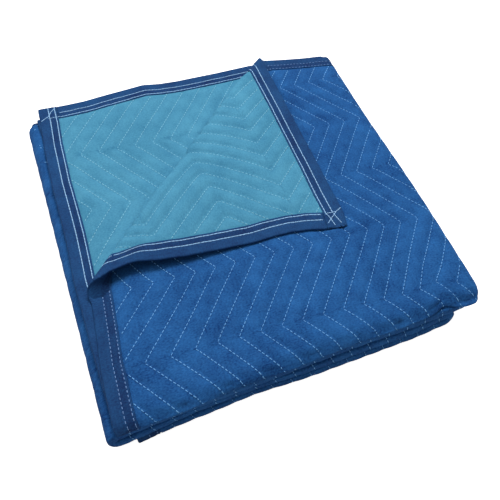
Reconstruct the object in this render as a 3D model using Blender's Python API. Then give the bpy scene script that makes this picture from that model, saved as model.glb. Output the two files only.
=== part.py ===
"""Quilted moving blanket, folded in quarters both ways, with one corner turned back.

Two quilted panels lie face to back, and four binding strips close their edges. Every
piece is first laid out flat and then carried through the same folds:

1. along its length, in half and in half again, into a pack of four layers
2. across its width, back and forth, into four packs on top of each other
3. the far left corner of the top layer, back over a diagonal
4. the slightly askew outline in which the stack lies
"""
import math

import bmesh
import bpy
from mathutils import Vector

for old in list(bpy.data.objects):
    bpy.data.objects.remove(old)

# The blanket laid flat, over its bindings, in metres.
WIDTH = 1.829
LENGTH = 2.032

# Across the cloth: the face is on the + side of the middle surface, the backing on the - side.
HALF_THICK = 0.0014
SEAM_GAP = 0.0003
BINDING_WIDTH = 0.0270
BINDING_CLOTH = 0.0005
BOUND_HALF = HALF_THICK - BINDING_CLOTH - SEAM_GAP
RAW_EDGE = BINDING_CLOTH + SEAM_GAP
STEP_RUN = 0.0003
BOUND_EDGE = BINDING_WIDTH + SEAM_GAP

# The folded stack: layers lie a pitch apart, a little more than the cloth's thickness.
PITCH = 0.0031
PACK = 4 * PITCH
FLOOR_SHIFT = PITCH / 2 - HALF_THICK
STACK_HEIGHT = 4 * PACK

# Folds along the length: two runs end in a bound edge, and two meet in the far crease.
TOP_RUN = 0.5070
NEAR_OUTER_TURN = 1.5 * math.pi * PITCH
NEAR_INNER_TURN = 0.5 * math.pi * PITCH
FAR_TURN = 0.5 * math.pi * PITCH
SECOND_RUN = 0.5120
CREASED_RUN = (LENGTH - TOP_RUN - SECOND_RUN - NEAR_OUTER_TURN - NEAR_INNER_TURN - FAR_TURN) / 2

# Folds across the width: each crease turns a whole pack, and none lies just above another.
PANEL_WIDTH = 0.4540
SIDE_TURN = 2 * math.pi * PITCH
LEFT_CREASE_X = -0.0080
LOWER_RIGHT_CREASE_X = PANEL_WIDTH - 0.0250

# How far each edge drifts in from a straight line or, below 0, out. The drift fades to
# nothing at its reach from the edge.
DRIFT_REACH = 0.1135
FAR_TURN_START = TOP_RUN + NEAR_OUTER_TURN + CREASED_RUN
INNER_TURN_START = LENGTH - SECOND_RUN - NEAR_INNER_TURN
LAST_RUN_START = LENGTH - SECOND_RUN
# place along the length, drift
LEFT_DRIFT = (
    (0.0, -0.0040),
    (0.0650, 0.0035),
    (0.1135, -0.0020),
    (0.1690, -0.0090),
    (0.2150, -0.0120),
    (0.2550, -0.0095),
    (0.3100, 0.0040),
    (0.3380, -0.0020),
    (0.4400, -0.0090),
    (TOP_RUN + NEAR_OUTER_TURN, -0.0060),
    (FAR_TURN_START, -0.0040),
    (INNER_TURN_START, -0.0070),
    (LAST_RUN_START + 0.1707, -0.0180),
    (LAST_RUN_START + 0.3413, -0.0140),
    (LAST_RUN_START + 0.4780, -0.0010),
    (LENGTH, 0.0020),
)
RIGHT_DRIFT = (
    (TOP_RUN + NEAR_OUTER_TURN, 0.0),
    (FAR_TURN_START, 0.0040),
    (INNER_TURN_START, 0.0070),
    (LAST_RUN_START + 0.3413, 0.0100),
    (LENGTH, -0.0010),
)
# place across the width, drift
START_DRIFT = (
    (0.0, -0.0055),
    (0.1135, -0.0080),
    (0.2270, -0.0105),
    (0.3650, -0.0120),
    (0.3900, -0.0070),
    (0.4200, -0.0035),
    (PANEL_WIDTH, -0.0015),
    (PANEL_WIDTH + SIDE_TURN, 0.0),
)
FINISH_DRIFT = (
    (0.0, 0.0010),
    (0.1135, -0.0040),
    (0.1600, -0.0090),
    (0.1900, -0.0040),
    (0.2270, -0.0030),
    (0.3405, -0.0080),
    (PANEL_WIDTH, -0.0020),
    (PANEL_WIDTH + SIDE_TURN, 0.0),
)

# The turned-back corner: where its crease meets the far edge and the left edge.
FOLD_FAR_X = 0.3520
FOLD_LEFT_Y = 0.1540
# place along that crease, as a share of its length, and the radius of its roll
ROLL_RADII = (
    (0.0, 0.0075),
    (0.5, 0.0048),
    (1.0, 0.0105),
)
ROLL_LENGTH = math.pi * 0.0055
FLAP_REST = PITCH + 0.0005
FLAP_SETTLE = 0.1700
BIAS_STRETCH = 1.055
BIAS_LEAN = 0.045
FLAP_BOW = 0.0195
FLAP_BOW_REACH = 0.0600

# The corners of the stack on the surface it lies on: at its top, and at its foot.
# corner: x at the top, y at the top, x at the foot, y at the foot
CORNERS = {
    "near_left": (-0.1890, -0.2545, -0.1890, -0.2625),
    "near_right": (0.2420, -0.2135, 0.2350, -0.2235),
    "far_left": (-0.2330, 0.2505, -0.2330, 0.2235),
    "far_right": (0.2260, 0.2475, 0.2260, 0.2475),
}
# How far its edges bow: the left one in and the far one out at the top, the near one in at the foot.
LEFT_BOW = 0.0095
FAR_BOW = 0.0050
NEAR_FOOT_BOW = 0.0050
BOW_FOOT = 0.45

# The top pack swells a little in its middle, and gives way at its near right corner.
CROWN = 0.0010
CORNER_SAG = 0.0022
CORNER_SAG_REACH = 0.30

# How finely the cloth is cut into flat faces: strips in each run and turn.
TOP_STRIPS = 3
CREASED_STRIPS = 3
TURN_STRIPS = 4
TOP_PACK_STRIPS = 4
LOWER_PACK_STRIPS = 2
SIDE_TURN_STRIPS = 5
ROLL_STRIPS = 5
SETTLE_LINES = (0.3, 0.65)
SAME_PLACE = 1e-7

FACE_COLOUR = (0.018, 0.107, 0.342)
BACK_COLOUR = (0.080, 0.328, 0.503)
BINDING_COLOUR = (0.021, 0.058, 0.242)
PANEL_ROUGHNESS = 0.85
BINDING_ROUGHNESS = 0.8
CREASE_ANGLE = math.radians(40)


def between(table, place):
    """The value at a place, read from a table of places and values."""
    for (start, low), (end, high) in zip(table, table[1:]):
        if place <= end:
            share = (place - start) / (end - start)
            return low + (high - low) * max(share, 0.0)
    return table[-1][1]


def drift(inward, along, table):
    """How far a point moves in with its drifting edge, whose binding moves as a whole."""
    share = (DRIFT_REACH - inward) / (DRIFT_REACH - BOUND_EDGE)
    return between(table, along) * min(max(share, 0.0), 1.0)


def drifted(u, v):
    """Flat place at which a point meets the folds, with the edges where they drift to."""
    return (
        u + drift(u, v, LEFT_DRIFT) - drift(WIDTH - u, v, RIGHT_DRIFT),
        v + drift(v, u, START_DRIFT) - drift(LENGTH - v, u, FINISH_DRIFT),
    )


def smooth(share):
    share = min(max(share, 0.0), 1.0)
    return share * share * (3 - 2 * share)


def fold_along_length(v, off):
    """Depth in the pack and height over its middle, for a point off the middle surface."""
    if v <= TOP_RUN:
        return TOP_RUN - v, 1.5 * PITCH + off
    v -= TOP_RUN
    if v <= NEAR_OUTER_TURN:
        angle = math.pi * v / NEAR_OUTER_TURN
        radius = 1.5 * PITCH + off
        return -radius * math.sin(angle), radius * math.cos(angle)
    v -= NEAR_OUTER_TURN
    if v <= CREASED_RUN:
        return v, -1.5 * PITCH - off
    v -= CREASED_RUN
    if v <= FAR_TURN:
        angle = math.pi * v / FAR_TURN
        radius = 0.5 * PITCH + off
        return CREASED_RUN + radius * math.sin(angle), -PITCH - radius * math.cos(angle)
    v -= FAR_TURN
    if v <= CREASED_RUN:
        return CREASED_RUN - v, -0.5 * PITCH + off
    v -= CREASED_RUN
    if v <= NEAR_INNER_TURN:
        angle = math.pi * v / NEAR_INNER_TURN
        radius = 0.5 * PITCH - off
        return -radius * math.sin(angle), -radius * math.cos(angle)
    return v - NEAR_INNER_TURN, 0.5 * PITCH - off


def fold_across_width(u, height):
    """Place across the stack and height over its foot, for a height in the pack."""
    if u <= PANEL_WIDTH:
        return u, 3.5 * PACK + height
    u -= PANEL_WIDTH
    if u <= SIDE_TURN:
        angle = math.pi * u / SIDE_TURN
        radius = 0.5 * PACK + height
        return PANEL_WIDTH + radius * math.sin(angle), 3 * PACK + radius * math.cos(angle)
    u -= SIDE_TURN
    if u <= PANEL_WIDTH - LEFT_CREASE_X:
        return PANEL_WIDTH - u, 2.5 * PACK - height
    u -= PANEL_WIDTH - LEFT_CREASE_X
    if u <= SIDE_TURN:
        angle = math.pi * u / SIDE_TURN
        radius = 0.5 * PACK - height
        return LEFT_CREASE_X - radius * math.sin(angle), 2 * PACK + radius * math.cos(angle)
    u -= SIDE_TURN
    if u <= LOWER_RIGHT_CREASE_X - LEFT_CREASE_X:
        return LEFT_CREASE_X + u, 1.5 * PACK + height
    u -= LOWER_RIGHT_CREASE_X - LEFT_CREASE_X
    if u <= SIDE_TURN:
        angle = math.pi * u / SIDE_TURN
        radius = 0.5 * PACK + height
        return LOWER_RIGHT_CREASE_X + radius * math.sin(angle), PACK + radius * math.cos(angle)
    return LOWER_RIGHT_CREASE_X - (u - SIDE_TURN), 0.5 * PACK - height


FOLD_START = Vector((FOLD_FAR_X, TOP_RUN))
FOLD_END = Vector((0.0, FOLD_LEFT_Y))
FOLD_SPAN = (FOLD_END - FOLD_START).length
FOLD_RUN = (FOLD_END - FOLD_START) / FOLD_SPAN
TO_CORNER = Vector((FOLD_RUN.y, -FOLD_RUN.x))


def turn_back(x, y, off):
    """Carry a point of the top layer, in the corner past the diagonal, back over it.

    The left edge of that corner bows inwards, most at a third of its way to the corner.
    """
    place = Vector((x, y)) - FOLD_START
    past = place.dot(TO_CORNER)
    if past > 0.0:
        share = (y - FOLD_LEFT_Y) / (TOP_RUN - FOLD_LEFT_Y)
        bow = 27 / 4 * share * (1 - share) ** 2 * (1 - x / FOLD_FAR_X)
        place.x += FLAP_BOW * bow * smooth(past / FLAP_BOW_REACH)
        past = place.dot(TO_CORNER)
    along = place.dot(FOLD_RUN)
    roll = between(ROLL_RADII, along / FOLD_SPAN)
    if past <= 0.0:
        out, rise = past, off
    elif past < ROLL_LENGTH:
        angle = math.pi * past / ROLL_LENGTH
        out = (roll - off) * math.sin(angle)
        rise = roll - (roll - off) * math.cos(angle)
    else:
        out = BIAS_STRETCH * (ROLL_LENGTH - past)
        settled = smooth(-out / FLAP_SETTLE)
        rise = 2 * roll + (FLAP_REST - 2 * roll) * settled - off
        along -= BIAS_LEAN * out
    flat = FOLD_START + FOLD_RUN * along + TO_CORNER * out
    return flat.x, flat.y, rise


def lie(x, y, z):
    """Carry a point of the square stack into the outline in which it lies."""
    across = x / PANEL_WIDTH
    deep = y / TOP_RUN
    up = min(z / STACK_HEIGHT, 1.0)
    near_left, near_right, far_left, far_right = (
        Vector(foot).lerp(Vector(top), up)
        for top, foot in ((row[:2], row[2:]) for row in CORNERS.values())
    )
    left = near_left.lerp(far_left, deep)
    right = near_right.lerp(far_right, deep)
    flat = left.lerp(right, across)
    inside = min(max(deep, 0.0), 1.0)
    level = min(max(across, 0.0), 1.0)
    lengthwise, crosswise = 4 * inside * (1 - inside), 4 * level * (1 - level)
    topmost = smooth((up - BOW_FOOT) / (1 - BOW_FOOT))
    flat.x += LEFT_BOW * topmost * lengthwise * (1 - across)
    flat.y += FAR_BOW * topmost * crosswise * deep
    flat.y += NEAR_FOOT_BOW * (1 - up) * crosswise * (1 - deep)
    crown = CROWN * lengthwise * crosswise
    reach = math.hypot(1 - level, inside) / CORNER_SAG_REACH
    sag = CORNER_SAG * (1 - smooth(reach))
    share = min(max((z - 3 * PACK) / PACK, 0.0), 1.0)
    return Vector((flat.x, flat.y, z - FLOOR_SHIFT + (crown - sag) * share))


def fold(u, v, off):
    """Carry a point of the flat blanket, its edges drifted, into the folded stack."""
    depth, height = fold_along_length(v, off)
    x, z = fold_across_width(u, height)
    if v <= TOP_RUN and u <= PANEL_WIDTH:
        layer = 3.5 * PACK + 1.5 * PITCH
        x, depth, rise = turn_back(x, depth, off)
        z = layer + rise
    return lie(x, depth, z)


def lines(runs):
    """Places where the cloth needs a line of corners, from runs and the strips in each."""
    places, start = [], 0.0
    for length, count in runs:
        places += [start + length * step / count for step in range(count)]
        start += length
    return places[1:]


def with_drifts(places, first, last, end):
    """Those places, and the ones inside the bindings where an edge's drift changes."""
    places = list(places)
    for turning in [place for place, _ in first + last] + [DRIFT_REACH, end - DRIFT_REACH]:
        apart = min(abs(turning - place) for place in places)
        if BOUND_EDGE < turning < end - BOUND_EDGE and apart > STEP_RUN:
            places.append(turning)
    return sorted(places)


LENGTH_LINES = lines((
    (TOP_RUN, TOP_STRIPS),
    (NEAR_OUTER_TURN, TURN_STRIPS),
    (CREASED_RUN, CREASED_STRIPS),
    (FAR_TURN, TURN_STRIPS),
    (CREASED_RUN, CREASED_STRIPS),
    (NEAR_INNER_TURN, TURN_STRIPS),
    (SECOND_RUN, TOP_STRIPS),
))
LENGTH_LINES = with_drifts(LENGTH_LINES, LEFT_DRIFT, RIGHT_DRIFT, LENGTH)
WIDTH_LINES = lines((
    (PANEL_WIDTH, TOP_PACK_STRIPS),
    (SIDE_TURN, SIDE_TURN_STRIPS),
    (PANEL_WIDTH - LEFT_CREASE_X, LOWER_PACK_STRIPS),
    (SIDE_TURN, SIDE_TURN_STRIPS),
    (LOWER_RIGHT_CREASE_X - LEFT_CREASE_X, LOWER_PACK_STRIPS),
    (SIDE_TURN, SIDE_TURN_STRIPS),
    (PANEL_WIDTH, LOWER_PACK_STRIPS),
))
WIDTH_LINES = with_drifts(WIDTH_LINES, START_DRIFT, FINISH_DRIFT, WIDTH)


def lay_panel(side):
    """One quilted panel laid flat: the face for side 1, the backing for side -1."""
    bound_lines = [RAW_EDGE, BOUND_EDGE]
    margin = bound_lines + [BOUND_EDGE + STEP_RUN]
    rows = margin + LENGTH_LINES + [LENGTH - place for place in reversed(margin)]
    columns = margin + WIDTH_LINES + [WIDTH - place for place in reversed(margin)]
    flat = bmesh.new()
    inner, outer = {}, {}
    for row, v in enumerate(rows):
        for column, u in enumerate(columns):
            to_edge = min(row, len(rows) - 1 - row, column, len(columns) - 1 - column)
            bound = to_edge < len(bound_lines)
            thick = BOUND_HALF if bound else HALF_THICK
            inner[row, column] = flat.verts.new((*drifted(u, v), side * SEAM_GAP / 2))
            outer[row, column] = flat.verts.new((*drifted(u, v), side * thick))
    for row in range(len(rows) - 1):
        for column in range(len(columns) - 1):
            cell = ((row, column), (row + 1, column), (row + 1, column + 1), (row, column + 1))
            flat.faces.new([inner[corner] for corner in cell])
            flat.faces.new([outer[corner] for corner in reversed(cell)])
    last_row, last_column = len(rows) - 1, len(columns) - 1
    rim = [(row, 0) for row in range(last_row)]
    rim += [(last_row, column) for column in range(last_column)]
    rim += [(row, last_column) for row in range(last_row, 0, -1)]
    rim += [(0, column) for column in range(last_column, 0, -1)]
    for here, there in zip(rim, rim[1:] + rim[:1]):
        flat.faces.new((inner[there], inner[here], outer[here], outer[there]))
    return flat


# The section of a binding strip: how far in from the blanket's edge, and off its middle.
BINDING_SECTION = (
    (0.0, -HALF_THICK),
    (BINDING_WIDTH, -HALF_THICK),
    (BINDING_WIDTH, BINDING_CLOTH - HALF_THICK),
    (BINDING_CLOTH, BINDING_CLOTH - HALF_THICK),
    (BINDING_CLOTH, HALF_THICK - BINDING_CLOTH),
    (BINDING_WIDTH, HALF_THICK - BINDING_CLOTH),
    (BINDING_WIDTH, HALF_THICK),
    (0.0, HALF_THICK),
)
SECTION_END = ((0, 1, 2, 3), (0, 3, 4, 7), (7, 4, 5, 6))


def lay_strip(stations, place):
    """One binding strip laid flat, its section swept through the stations along its edge."""
    flat = bmesh.new()
    rings = []
    for station in stations:
        rings.append([
            flat.verts.new((*drifted(*place(station, inward)), off))
            for inward, off in BINDING_SECTION
        ])
    for ring, following in zip(rings, rings[1:]):
        for corner in range(len(ring)):
            flat.faces.new((ring[corner], following[corner], following[corner - 1], ring[corner - 1]))
    for ring in (rings[0], rings[-1]):
        for quad in SECTION_END:
            flat.faces.new([ring[corner] for corner in quad])
    return flat


def cut_at_fold(flat):
    """Cut the top layer along the lines where its corner rolls over and settles."""
    pasts = [ROLL_LENGTH * strip / ROLL_STRIPS for strip in range(ROLL_STRIPS + 1)]
    pasts += [ROLL_LENGTH + FLAP_SETTLE * share for share in SETTLE_LINES]
    across = Vector((TO_CORNER.x, -TO_CORNER.y, 0.0))
    start = Vector((FOLD_START.x, TOP_RUN - FOLD_START.y, 0.0))
    for past in pasts:
        top = [
            face for face in flat.faces
            if all(vert.co.x < PANEL_WIDTH + STEP_RUN and vert.co.y < TOP_RUN + STEP_RUN
                   for vert in face.verts)
        ]
        edges = {edge for face in top for edge in face.edges}
        verts = {vert for face in top for vert in face.verts}
        bmesh.ops.bisect_plane(
            flat, geom=top + list(edges) + list(verts), dist=SAME_PLACE,
            plane_co=start + across * past, plane_no=across,
        )


def heading(v):
    """Which way a run of the cloth goes: 1 towards the far edge, -1 towards the near one."""
    second_end = LENGTH - SECOND_RUN - NEAR_INNER_TURN
    if v < TOP_RUN + NEAR_OUTER_TURN or second_end - CREASED_RUN < v < second_end:
        return -1
    return 1


def triangles(face):
    """Split a convex face so that its diagonals lean the same way in every layer."""
    ring = list(face.verts)
    way = heading(sum(vert.co.y for vert in ring) / len(ring))
    first = min(range(len(ring)), key=lambda place: ring[place].co.x + way * ring[place].co.y)
    ring = [vert.index for vert in ring[first:] + ring[:first]]
    return [(ring[0], after, before) for before, after in zip(ring[1:], ring[2:])]


def fold_piece(name, flat, colour, roughness):
    """Fold a flat piece into the stack and give it its cloth."""
    bmesh.ops.recalc_face_normals(flat, faces=flat.faces[:])
    cut_at_fold(flat)
    flat.verts.index_update()
    points = [fold(*vert.co) for vert in flat.verts]
    faces = [triangle for face in flat.faces for triangle in triangles(face)]
    flat.free()
    mesh = bpy.data.meshes.new(name)
    mesh.from_pydata(points, [], faces)
    mesh.shade_smooth()
    mesh.set_sharp_from_angle(angle=CREASE_ANGLE)
    cloth = bpy.data.materials.new(name)
    cloth.use_nodes = True
    shader = cloth.node_tree.nodes["Principled BSDF"]
    shader.inputs["Base Color"].default_value = (*colour, 1.0)
    shader.inputs["Roughness"].default_value = roughness
    shader.inputs["Metallic"].default_value = 0.0
    mesh.materials.append(cloth)
    piece = bpy.data.objects.new(name, mesh)
    bpy.context.collection.objects.link(piece)


fold_piece("face_panel", lay_panel(1), FACE_COLOUR, PANEL_ROUGHNESS)
fold_piece("back_panel", lay_panel(-1), BACK_COLOUR, PANEL_ROUGHNESS)

side_lines = LENGTH_LINES + [LENGTH - BOUND_EDGE, LENGTH]
end_lines = [BOUND_EDGE] + WIDTH_LINES + [WIDTH - BOUND_EDGE]
STRIPS = (
    ("binding_left", [BOUND_EDGE] + side_lines, lambda along, inward: (inward, along)),
    ("binding_right", [BOUND_EDGE] + side_lines, lambda along, inward: (WIDTH - inward, along)),
    ("binding_start", [0.0] + end_lines + [WIDTH], lambda along, inward: (along, inward)),
    ("binding_finish", end_lines, lambda along, inward: (along, LENGTH - inward)),
)
for name, stations, place in STRIPS:
    fold_piece(name, lay_strip(stations, place), BINDING_COLOUR, BINDING_ROUGHNESS)
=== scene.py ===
import math

import bmesh
import bpy
import numpy as np
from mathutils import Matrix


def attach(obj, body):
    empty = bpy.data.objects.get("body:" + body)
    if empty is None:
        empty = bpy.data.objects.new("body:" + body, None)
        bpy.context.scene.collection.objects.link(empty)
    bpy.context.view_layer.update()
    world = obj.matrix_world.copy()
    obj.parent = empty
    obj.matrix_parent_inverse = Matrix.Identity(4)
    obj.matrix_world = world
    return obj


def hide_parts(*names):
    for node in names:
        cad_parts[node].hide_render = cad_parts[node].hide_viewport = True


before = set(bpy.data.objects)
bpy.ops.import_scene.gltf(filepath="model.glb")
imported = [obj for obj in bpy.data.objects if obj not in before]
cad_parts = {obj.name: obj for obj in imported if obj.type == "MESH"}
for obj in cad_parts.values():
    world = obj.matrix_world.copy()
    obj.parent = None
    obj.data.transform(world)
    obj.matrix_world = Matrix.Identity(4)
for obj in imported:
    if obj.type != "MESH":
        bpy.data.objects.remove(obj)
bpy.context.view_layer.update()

# ------------------------------------------------------------------ face cloth
# The blanket's dark side is one piece of mid-blue woven cloth. It is quilted through a thin
# batting in zigzag lines an inch apart, then folded into a pack of four layers, and that pack
# goes to and fro across the width. The far left corner of the top layer is turned back.

# The blanket laid flat, in metres, and half its thickness where it is pressed.
WIDTH = 1.829
LENGTH = 2.032
HALF_THICK = 0.0014
BOUND_HALF = 0.0006
BINDING_WIDTH = 0.0270

# The stack: layers lie a pitch apart, four to a pack, and four packs high.
PITCH = 0.0031
PACK = 4 * PITCH
FLOOR_SHIFT = PITCH / 2 - HALF_THICK
STACK_HEIGHT = 4 * PACK

# Where each run of the cloth starts and turns, and its level in pitches or packs.
TOP_RUN = 0.5070
SECOND_RUN = 0.5120
NEAR_TURN = 1.5 * math.pi * PITCH
CREASED_RUN = (LENGTH - TOP_RUN - SECOND_RUN - NEAR_TURN - math.pi * PITCH) / 2
LENGTH_RUNS = (
    (TOP_RUN, 0.0, 1.5),
    (0.0, CREASED_RUN, -1.5),
    (CREASED_RUN, 0.0, -0.5),
    (0.0, SECOND_RUN, 0.5),
)
PANEL_WIDTH = 0.4540
SIDE_TURN = math.pi * PACK / 2
LEFT_CREASE = -0.0080
LOWER_RIGHT_CREASE = PANEL_WIDTH - 0.0250
WIDTH_RUNS = (
    (0.0, PANEL_WIDTH, 3.5),
    (PANEL_WIDTH, LEFT_CREASE, 2.5),
    (LEFT_CREASE, LOWER_RIGHT_CREASE, 1.5),
    (LOWER_RIGHT_CREASE, -1.0, 0.5),
)
FAR_TURN_START = TOP_RUN + NEAR_TURN + CREASED_RUN
INNER_TURN_START = LENGTH - SECOND_RUN - math.pi * PITCH / 2
LAST_RUN_START = LENGTH - SECOND_RUN
SIDE_TURN_STARTS = (
    PANEL_WIDTH,
    PANEL_WIDTH + SIDE_TURN + PANEL_WIDTH - LEFT_CREASE,
    PANEL_WIDTH + 2 * SIDE_TURN + PANEL_WIDTH - 2 * LEFT_CREASE + LOWER_RIGHT_CREASE,
)

# How far each edge drifts in (or, below 0, out) at places along it, and how soon that fades.
# place along the edge, drift
LEFT_DRIFT = (
    (0.0, -0.0040),
    (0.025, -0.0022),
    (0.050, 0.0026),
    (0.074, 0.0035),
    (0.097, 0.0012),
    (0.127, -0.0047),
    (0.178, -0.0098),
    (0.216, -0.0120),
    (0.252, -0.0098),
    (0.288, -0.0005),
    (0.312, 0.0042),
    (0.344, -0.0027),
    (0.386, -0.0056),
    (0.440, -0.0094),
    (TOP_RUN, -0.0080),
    (TOP_RUN + NEAR_TURN, -0.0060),
    (FAR_TURN_START, -0.0040),
    (INNER_TURN_START, -0.0070),
    (LAST_RUN_START + 0.100, -0.0150),
    (LAST_RUN_START + 0.190, -0.0185),
    (LAST_RUN_START + 0.260, -0.0155),
    (LAST_RUN_START + 0.355, -0.0136),
    (LAST_RUN_START + 0.430, -0.0077),
    (LAST_RUN_START + 0.478, -0.0013),
    (LENGTH, 0.0020),
)
RIGHT_DRIFT = (
    (TOP_RUN + NEAR_TURN, 0.0),
    (FAR_TURN_START, 0.0040),
    (INNER_TURN_START, 0.0070),
    (LENGTH - SECOND_RUN / 2, 0.0105),
    (LENGTH, -0.0010),
)
START_DRIFT = (
    (0.0, 0.0),
    (0.028, -0.0048),
    (0.060, -0.0050),
    (0.110, -0.0078),
    (0.160, -0.0092),
    (0.220, -0.0105),
    (0.300, -0.0108),
    (0.345, -0.0120),
    (0.365, -0.0140),
    (0.390, -0.0092),
    (0.420, -0.0048),
    (PANEL_WIDTH, -0.0015),
    (0.500, 0.0),
)
FINISH_DRIFT = (
    (0.0, -0.0005),
    (0.040, 0.0010),
    (0.070, 0.0010),
    (0.100, -0.0025),
    (0.130, -0.0055),
    (0.163, -0.0092),
    (0.188, -0.0042),
    (0.215, -0.0025),
    (0.280, -0.0042),
    (0.335, -0.0080),
    (PANEL_WIDTH, -0.0020),
    (0.500, 0.0),
)
DRIFT_REACH = 0.0900

# The near lips of the packs waver in and out. The top one is round, and lies further forward;
# the ones below are flat-faced.
LIP_SQUARENESS = ((PANEL_WIDTH, PANEL_WIDTH + SIDE_TURN), (2.4, 4.0))
LIP_WAVER = 0.0016
LIP_WAVER_SIZE = 0.070
LIP_FORWARD = ((0.4220, 0.4380, PANEL_WIDTH, PANEL_WIDTH + SIDE_TURN),
               (0.0022, 0.0075, 0.0085, 0.0))
LIP_TUCK = 0.0045
LIP_TUCK_PLACE = 0.4110
LIP_TUCK_WIDTH = 0.0110
LIP_REACH = 0.1000

# The turned-back corner: its crease, the roll of the cloth there, and how the flap lies.
FOLD_START = np.array((0.3520, TOP_RUN))
FOLD_END = np.array((0.0, 0.1540))
FOLD_SPAN = np.linalg.norm(FOLD_END - FOLD_START)
FOLD_RUN = (FOLD_END - FOLD_START) / FOLD_SPAN
TO_CORNER = np.array((FOLD_RUN[1], -FOLD_RUN[0]))
ROLL_SHARES = (0.0, 0.5, 1.0)
ROLL_RADII = (0.0075, 0.0048, 0.0105)
ROLL_LENGTH = math.pi * 0.0055
FLAP_REST = PITCH + 0.0005
FLAP_SETTLE = 0.1700
BIAS_STRETCH = 1.055
BIAS_LEAN = 0.045
FLAP_BOW = 0.0195
FLAP_BOW_REACH = 0.0600

# The outline in which the stack lies. corner: x and y at its top, x and y at its foot
CORNERS = {
    "near_left": (-0.1890, -0.2545, -0.1890, -0.2625),
    "near_right": (0.2420, -0.2135, 0.2350, -0.2235),
    "far_left": (-0.2330, 0.2505, -0.2330, 0.2235),
    "far_right": (0.2260, 0.2475, 0.2260, 0.2475),
}
LEFT_BOW = 0.0095
FAR_BOW = 0.0050
RIGHT_BOW = 0.0050
RIGHT_BOW_REACH = (0.30, 0.50)

# How far the foot of the near side bows in at places across the stack. share across, bow
NEAR_FOOT_BOW = (
    (0.00, 0.0),
    (0.18, 0.0052),
    (0.35, 0.0045),
    (0.50, 0.0030),
    (0.65, -0.0005),
    (0.85, -0.0020),
    (1.00, 0.0),
)
BOW_FOOT = 0.45
CROWN = 0.0010
CORNER_SAG = 0.0022
CORNER_SAG_REACH = 0.30
NEAR_ROLL = 0.0105
NEAR_ROLL_START = 0.0180
NEAR_ROLL_SPAN = 0.0263
NEAR_ROLL_MOST = 0.97
ROUNDED_NEAR = 0.0180
ROUNDED_FAR = 0.0120
ROUNDNESS = 3.4

# The lattice behind any unevenness: its cells each way, and how far into it the blanket starts.
CELLS = 63
CELLS_IN = 20


def smooth(share):
    """A smooth rise from 0 to 1, level at both ends."""
    share = np.clip(share, 0.0, 1.0)
    return share * share * (3 - 2 * share)


def uneven(u, v, size, seed):
    """Soft unevenness from -1 to 1, with swells of about a size."""
    lattice = np.random.default_rng(seed).uniform(-1, 1, (CELLS + 1, CELLS + 1))
    column, row = u / size + CELLS_IN, v / size + CELLS_IN
    i, j = np.floor(column).astype(int), np.floor(row).astype(int)
    a, b = smooth(column - i), smooth(row - j)
    i, j = i % CELLS, j % CELLS
    low = lattice[i, j] * (1 - a) + lattice[i + 1, j] * a
    high = lattice[i, j + 1] * (1 - a) + lattice[i + 1, j + 1] * a
    return low * (1 - b) + high * b


def to_and_fro(along, off, runs, gap, squareness=2.0):
    """Fold a sheet to and fro: place along the runs, and height, for points off its middle.

    A turn is round where the squareness is 2, and its outer face flatter where it is more.
    """
    place, height = np.empty_like(along), np.empty_like(along)
    begun = 0.0
    for index, (start, end, level) in enumerate(runs):
        side = 1 - 2 * (index % 2)
        way = 1 if end > start else -1
        on = along >= begun if index else along > -1.0
        place[on] = start + way * (along[on] - begun)
        height[on] = level * gap + side * off[on]
        begun += abs(end - start)
        if index + 1 == len(runs):
            break
        rise = runs[index + 1][2] - level
        up = 1 if rise > 0 else -1
        radius = abs(rise) * gap / 2
        on = along >= begun
        angle = np.minimum((along[on] - begun) / radius, math.pi)
        power = np.broadcast_to(squareness, along.shape)[on]
        swell = np.abs(np.sin(angle)) ** power + np.abs(np.cos(angle)) ** power
        reach = (radius - side * up * off[on]) * swell ** (-1 / power)
        place[on] = end + way * reach * np.sin(angle)
        height[on] = (level + rise / 2) * gap - up * reach * np.cos(angle)
        begun += math.pi * radius
    return place, height


def past_fold(x, y):
    """How far a point of the top layer lies past the diagonal, towards the corner."""
    return (x - FOLD_START[0]) * TO_CORNER[0] + (y - FOLD_START[1]) * TO_CORNER[1]


def turn_back(x, y, off):
    """Carry the top layer's corner back over the diagonal; its left edge bows inwards."""
    share = (y - FOLD_END[1]) / (TOP_RUN - FOLD_END[1])
    # 27 / 4 brings the bow's peak to 1
    bow = 27 / 4 * share * (1 - share) ** 2 * (1 - x / FOLD_START[0])
    past = past_fold(x, y)
    x = x + np.where(past > 0, FLAP_BOW * bow * smooth(past / FLAP_BOW_REACH), 0.0)
    past = past_fold(x, y)
    along = (x - FOLD_START[0]) * FOLD_RUN[0] + (y - FOLD_START[1]) * FOLD_RUN[1]
    roll = np.interp(along / FOLD_SPAN, ROLL_SHARES, ROLL_RADII)
    angle = math.pi * past / ROLL_LENGTH
    out = BIAS_STRETCH * (ROLL_LENGTH - past)
    settled = smooth(-out / FLAP_SETTLE)
    lying = [past <= 0, past < ROLL_LENGTH]
    rise = np.select(lying, (off, roll - (roll - off) * np.cos(angle)),
                     2 * roll + (FLAP_REST - 2 * roll) * settled - off)
    along = along - np.where(past < ROLL_LENGTH, 0.0, BIAS_LEAN * out)
    out = np.select(lying, (past, (roll - off) * np.sin(angle)), out)
    return (
        FOLD_START[0] + FOLD_RUN[0] * along + TO_CORNER[0] * out,
        FOLD_START[1] + FOLD_RUN[1] * along + TO_CORNER[1] * out,
        rise,
    )


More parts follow.
